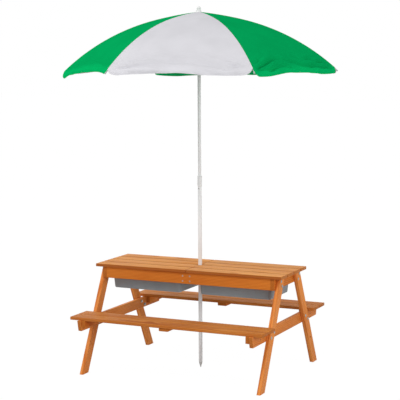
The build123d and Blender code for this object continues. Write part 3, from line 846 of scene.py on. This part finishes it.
@dataclass
class Canopy:
    """The cloth: six gores that ride on their ribs, half a gore to each rib."""

    curve: RibCurve = field(default_factory=RibCurve)
    wrinkles: Wrinkles = Wrinkles()
    first_angle: float = 16.5
    lift: float = 3.4 * MM
    crown_rise: float = 6.9 * MM
    crown_reach: tuple[float, float] = (21 * MM, 200 * MM)
    thickness: float = 1.0 * MM
    start: float = 0.003
    rows: int = 60
    frill_rows: int = 12
    columns: int = 72
    row_bias: float = 1.25
    frill_lean: float = math.radians(84)
    frill_uneven: float = 0.09
    frill_least: float = 0.6 * MM
    droop_place: tuple[float, float] = (-0.87, 0.08)
    keep: float = 0.3
    tuck_drop: float = 1.3 * MM
    tuck_ends: tuple[float, float] = (27 * MM, 400 * MM)
    tuck_full: float = 70 * MM
    tuck_shares: tuple[float, float] = (0.93, 0.1)
    tuck_columns: int = 25
    gores: tuple[Gore, ...] = (
        Gore(False, (4, 8, 14, 16, 13, 8, 2)),
        Gore(True, (2, -12, -8, -10, -12, -19, -10), (0.14, 0.06)),
        Gore(False, (4, 7, 13, 15, 14, 9, 3)),
        Gore(True, (-6, 6, 13, 20, 22, 22, 12), (0.05, 0.12), 0.6, droop=14 * MM),
        Gore(False, (9, 16, 19, 19, 12, 6, 13), (0.16, 0.14), 0.9),
        Gore(True, (3, 2, 14, 15, 14, 3, 9), (0.12, 0.06), 1.8),
    )

    def build(self) -> None:
        """Sews every gore and puts its halves on their ribs."""
        cloths = {True: GREEN_CLOTH.material(), False: WHITE_CLOTH.material()}
        for number, gore in enumerate(self.gores):
            points, normals, chart = self._surface(number, gore)
            middle = self.columns // 2
            for side, columns in ((0, slice(0, middle + 1)), (1, slice(middle, None))):
                colour = "green" if gore.green else "white"
                name = f"canopy_{colour}_{number + 1}_{'ab'[side]}"
                rib = (number + side) % len(self.gores)
                piece = self._sew(name, points[:, columns], normals[:, columns], chart[:, columns])
                tuck = self._sew(f"{name}_tuck", *self._tuck(side, points, normals, chart))
                for cloth in (piece, tuck):
                    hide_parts(f"canopy_{colour}")
                    seat(cloth, f"rib_{rib + 1}", cloths[gore.green])
                    self._fold(cloth)

    def _bearing(self, place: float) -> float:
        """Angle round the pole, with the place counted in gores from the first rib."""
        return math.radians(self.first_angle + place * 360 / len(self.gores))

    def _fold(self, cloth: bpy.types.Object) -> None:
        """Gives a piece of cloth its own copy of its mesh."""
        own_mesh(cloth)

    def _tuck(
        self, side: int, points: np.ndarray, normals: np.ndarray, chart: np.ndarray
    ) -> Grids:
        """Cloth that runs on under the other half gore, so that no slit opens at the crown.

        Args:
            side: 0 for the half on the gore's first rib, 1 for the other.
            points: points of the whole gore.
            normals: its normals.
            chart: its map.

        Returns:
            The same three grids for the cloth underneath.
        """
        radius = np.hypot(points[:, 0, 0], points[:, 0, 1])
        rows = np.flatnonzero((radius > self.tuck_ends[0]) & (radius < self.tuck_ends[1]))
        rows = rows[rows < self.rows]
        run = np.clip((radius[rows] - self.tuck_full) / (self.tuck_ends[1] - self.tuck_full), 0, 1)
        wide, narrow = self.tuck_shares
        reach = wide - (wide - narrow) * run**2 * (3 - 2 * run)
        middle = self.columns // 2
        shares = np.linspace(-side, 1 - side, self.tuck_columns)
        places = middle + reach[:, None] * shares * middle
        base = np.clip(np.floor(places).astype(int), 0, self.columns - 1)
        part = (places - base)[..., None]
        grids = []
        for grid in (points, normals, chart):
            first = grid[rows[:, None], base]
            grids.append(first + part * (grid[rows[:, None], base + 1] - first))
        grids[0] = grids[0] - grids[1] * self.tuck_drop
        return tuple(grids)

    def _surface(self, number: int, gore: Gore) -> Grids:
        """Points, normals and map of one gore.

        Args:
            number: its place round the pole.
            gore: the panel.

        Returns:
            Three grids, from the crown down and from one rib to the next.
        """
        across = np.linspace(-1, 1, self.columns + 1)
        rise = np.interp(across, np.linspace(-1, 1, len(gore.rise)), gore.rise) * MM
        for _ in range(self.columns // 3):
            rise[1:-1] = (rise[:-2] + 2 * rise[1:-1] + rise[2:]) / 4
        slope = self.curve.pitch + self.curve.half
        reach = 1 - rise / (self.curve.length * math.sin(slope))
        down = 1 - (1 - np.linspace(0, 1, self.rows)) ** self.row_bias
        share = self.start + (reach[None, :] - self.start) * down[:, None]
        radius, height = self.curve.at(share, self.lift)
        inner, outer = self.crown_reach
        away = np.clip((radius - inner) / (outer - inner), 0, 1)
        height = height + self.crown_rise * (1 - away) ** 2
        points = self._place(number, radius, across, height)
        points = np.concatenate([points, self._frill(number, gore, points[-1], across, slope)])
        normals = self._normals(points)
        wave = gore.slack * self._waves(number, points, across)
        points = points + normals * wave[..., None]
        normals = self._normals(points)
        step = np.linalg.norm(np.diff(points, axis=0), axis=-1)
        up = np.concatenate([np.cumsum(step[::-1], axis=0)[::-1], np.zeros((1, across.size))])
        seam = np.linalg.norm(points[:, :1] - points, axis=-1)
        other = np.linalg.norm(points[:, -1:] - points, axis=-1)
        chart = np.stack([np.minimum(seam, other), up], axis=-1)
        return points, normals, chart

    def _place(
        self, number: int, radius: np.ndarray, across: np.ndarray, height: np.ndarray
    ) -> np.ndarray:
        """Points straight across from rib to rib at those radii and heights."""
        angles = (self._bearing(number), self._bearing(number + 1))
        first, last = (np.array((math.cos(angle), math.sin(angle))) for angle in angles)
        share = (across[:, None] + 1) / 2
        plan = radius[..., None] * ((1 - share) * first + share * last)
        return np.concatenate([plan, height[..., None]], axis=-1)

    def _frill(
        self, number: int, gore: Gore, hem: np.ndarray, across: np.ndarray, slope: float
    ) -> np.ndarray:
        """Rows of the frill, which turns down from the hem and hangs.

        Args:
            number: the gore's place round the pole.
            gore: the panel.
            hem: points of the hem.
            across: places from rib to rib.
            slope: how steeply the cloth falls at the hem.

        Returns:
            The rows below the hem.
        """
        middle = self._bearing(number + 0.5)
        outward = np.array((math.cos(middle), math.sin(middle), 0))
        taper = np.where(across < 0, gore.corners[0], gore.corners[1])
        corner = np.clip((np.abs(across) - 1 + taper) / taper, 0, 1)
        sway = np.array([noise.noise(Vector((v * 3.5, number * 4.1, 0.3))) for v in across])
        centre, width = self.droop_place
        droop = gore.droop * np.exp(-(((across - centre) / width) ** 2))
        full = gore.frill * (1 + self.frill_uneven * sway) + droop
        depth = full * np.sqrt(np.clip(1 - corner**2, 0, 1)) + self.frill_least
        rows, place, previous = [], hem.copy(), 0.0
        for row in range(1, self.frill_rows + 1):
            share = row / self.frill_rows
            lean = slope + (self.frill_lean - slope) * share * share * (3 - 2 * share)
            way = math.cos(lean) * outward - math.sin(lean) * np.array((0, 0, 1))
            place = place + (share - previous) * depth[:, None] * way
            previous = share
            rows.append(place.copy())
        return np.array(rows)

    def _normals(self, points: np.ndarray) -> np.ndarray:
        """Unit normals of a grid, away from the pole."""
        down = np.gradient(points, axis=0)
        along = np.gradient(points, axis=1)
        across = np.cross(down, along)
        return across / np.linalg.norm(across, axis=-1, keepdims=True)

    def _waves(self, number: int, points: np.ndarray, across: np.ndarray) -> np.ndarray:
        """Heights of a gore's wrinkles.

        Args:
            number: the gore's place round the pole.
            points: the smooth cloth.
            across: places from rib to rib.

        Returns:
            Heights, none of them at the ribs.
        """
        hem = self.rows - 1
        wave = np.zeros(points.shape[:2])
        for i, j in np.ndindex(*wave.shape):
            v = across[j]
            side = 1 if i <= hem else -1
            hang = max(0.0, (i - hem) / self.frill_rows)
            low = max(0.0, (min(i, hem) - 0.5 * hem) / (0.5 * hem))
            above = float(np.linalg.norm(points[i, j] - points[hem, j])) * side
            body = self.wrinkles.low_waves(v, low, number)
            body += self.wrinkles.hem_roll(v, above, number)
            for tip in (0, -1):
                off = points[i, j] - points[hem, tip]
                along = points[hem, -1 - tip] - points[hem, tip]
                run = float(off @ (along / np.linalg.norm(along)))
                rise = side * math.sqrt(max(float(off @ off) - run * run, 0.0))
                body += self.wrinkles.tip_fan(run, rise, number * 2.1 + tip)
            edge = (1 - abs(v) ** 8) * min(1.0, (1 - abs(v)) * 11)
            wave[i, j] = edge * (body + self.wrinkles.frill_flap(v, hang, number)) * MM
        return wave

    def _faces(self, rows: int, columns: int) -> tuple[np.ndarray, int]:
        """Faces of a closed cloth over a grid, its rim last, and how many are not on the rim."""
        count = rows * columns
        index = np.arange(count).reshape(rows, columns)
        a, b, c, d = index[:-1, :-1], index[1:, :-1], index[1:, 1:], index[:-1, 1:]
        top = np.stack([a, b, c, d], axis=-1).reshape(-1, 4)
        under = np.stack([d, c, b, a], axis=-1).reshape(-1, 4) + count
        ring = np.concatenate([index[0, ::-1], index[1:, 0], index[-1, 1:], index[-2:0:-1, -1]])
        following = np.roll(ring, -1)
        rim = np.stack([ring, ring + count, following + count, following], axis=-1)
        return np.concatenate([top, under, rim]), 2 * len(top)

    def _sew(
        self, name: str, points: np.ndarray, normals: np.ndarray, chart: np.ndarray
    ) -> bpy.types.Object:
        """Makes one closed piece of cloth.

        Args:
            name: the piece's name.
            points: a grid of points on its middle.
            normals: its outward normals there.
            chart: its flat map there, in metres.

        Returns:
            The piece.
        """
        faces, broad = self._faces(*points.shape[:2])
        half = normals * self.thickness / 2
        vertices = np.concatenate([(points + half).reshape(-1, 3), (points - half).reshape(-1, 3)])
        mesh = bpy.data.meshes.new(name)
        mesh.from_pydata(vertices.tolist(), [], faces.tolist())
        layer = mesh.uv_layers.new(name="cloth")
        corners = np.zeros(len(mesh.loops), int)
        mesh.loops.foreach_get("vertex_index", corners)
        flat = chart.reshape(-1, 2)
        layer.data.foreach_set("uv", flat[corners % len(flat)].ravel())
        mesh.polygons.foreach_set("use_smooth", [True] * len(faces))
        outer = normals.reshape(-1, 3)
        custom = np.concatenate([outer, -outer])[corners]
        rim = np.repeat(np.arange(len(faces)) >= broad, 4)
        plain = np.zeros(len(faces) * 3)
        mesh.polygons.foreach_get("normal", plain)
        custom[rim] = np.repeat(plain.reshape(-1, 3), 4, axis=0)[rim]
        mesh.normals_split_custom_set(custom.tolist())
        piece = bpy.data.objects.new(name, mesh)
        bpy.context.scene.collection.objects.link(piece)
        return piece


@dataclass(frozen=True)
class Lamp:
    """A soft square lamp."""

    name: str
    place: Triple
    size: float
    power: float


@dataclass
class Studio:
    """Camera, lamps, floor and background."""

    eye: Vector = Vector((2.5561, -5.4220, 1.4961))
    aim: Vector = Vector((0.001, 0.0, 0.7958))
    roll: float = -0.31
    lens: float = 116.47
    lamps: tuple[Lamp, ...] = (
        Lamp("key", (-2.4, -3.0, 4.3), 2.0, 112),
        Lamp("fill", (4.3, -2.2, 1.7), 2.2, 74),
        Lamp("back", (0.8, 4.0, 3.6), 3.0, 30),
    )
    lit_point: Vector = Vector((0, 0, 0.7))
    sky_light: float = 0.54
    paper: Colour = (0.6, 0.6, 0.6)
    paper_glow: float = 1.03
    paper_share: float = 0.96

    def build(self) -> None:
        """Sets up the picture."""
        self._camera()
        self._world()
        self._floor()
        for lamp in self.lamps:
            self._lamp(lamp)
        bpy.context.scene.view_settings.view_transform = "Standard"

    def _camera(self) -> None:
        """Places the camera where the photograph was taken."""
        back = (self.eye - self.aim).normalized()
        right = Vector((0, 0, 1)).cross(back).normalized()
        up = back.cross(right)
        turn = math.radians(self.roll)
        across = math.cos(turn) * right + math.sin(turn) * up
        above = -math.sin(turn) * right + math.cos(turn) * up
        bpy.ops.object.camera_add(location=self.eye)
        camera = bpy.context.object
        camera.name = "camera"
        axes = Matrix((across, above, back)).transposed().to_4x4()
        camera.matrix_world = Matrix.Translation(self.eye) @ axes
        camera.data.lens = self.lens
        camera.data.sensor_width = 36
        camera.data.clip_end = 50
        bpy.context.scene.camera = camera

    def _world(self) -> None:
        """Plain light from all round, seen as white."""
        world = bpy.data.worlds.new("studio")
        world.use_nodes = True
        bpy.context.scene.world = world
        tree = world.node_tree
        shine = tree.nodes["Background"]
        shine.inputs["Color"].default_value = (1, 1, 1, 1)
        path = tree.nodes.new("ShaderNodeLightPath")
        seen = path.outputs["Is Camera Ray"]
        for kind in ("Is Glossy Ray", "Is Transmission Ray"):
            either = tree.nodes.new("ShaderNodeMath")
            either.operation = "MAXIMUM"
            tree.links.new(seen, either.inputs[0])
            tree.links.new(path.outputs[kind], either.inputs[1])
            seen = either.outputs[0]
        span = tree.nodes.new("ShaderNodeMapRange")
        span.inputs["To Min"].default_value = self.sky_light
        tree.links.new(seen, span.inputs["Value"])
        tree.links.new(span.outputs[0], shine.inputs["Strength"])

    def _floor(self) -> None:
        """A white floor that keeps a soft shadow."""
        bpy.ops.mesh.primitive_plane_add(size=60, location=(0, 0, -0.5 * MM))
        floor = bpy.context.object
        floor.name = "floor"
        paper = Shader("floor_paper")
        paper.set(Base_Color=self.paper, Roughness=1.0, Specular_IOR_Level=0.0)
        glow = paper.node("Emission", inputs={"Color": (1, 1, 1), "Strength": self.paper_glow})
        path = paper.node("LightPath")
        seen = paper.maths("MAXIMUM", path.outputs["Is Camera Ray"], path.outputs["Is Glossy Ray"])
        seen = paper.maths("MAXIMUM", seen, path.outputs["Is Transmission Ray"])
        share = paper.maths("MULTIPLY", seen, self.paper_share)
        inputs = {0: share, 1: paper.surface.outputs[0], 2: glow.outputs[0]}
        both = paper.node("MixShader", inputs=inputs)
        output = paper.tree.nodes["Material Output"]
        paper.feed(output.inputs["Surface"], both.outputs[0])
        floor.data.materials.append(paper.material)

    def _lamp(self, lamp: Lamp) -> None:
        """Adds a lamp that looks at the table."""
        bpy.ops.object.light_add(type="AREA", location=lamp.place)
        made = bpy.context.object
        made.name = lamp.name
        made.data.size = lamp.size
        made.data.energy = lamp.power
        way = Vector(lamp.place) - self.lit_point
        made.rotation_euler = way.to_track_quat("Z", "Y").to_euler()


def main() -> None:
    """Builds the picture, one sub-assembly after another."""
    logging.basicConfig(level=logging.INFO)
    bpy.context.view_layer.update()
    bpy.ops.object.select_all(action="DESELECT")
    Studio().build()
    Carcass().build()
    Screws().build()
    for side in ("left", "right"):
        PlayBox(side).build()
        Lid(side).build()
    Pole().build()
    ShadeFrame().build()
    Canopy().build()


if __name__ == "__main__":
    main()
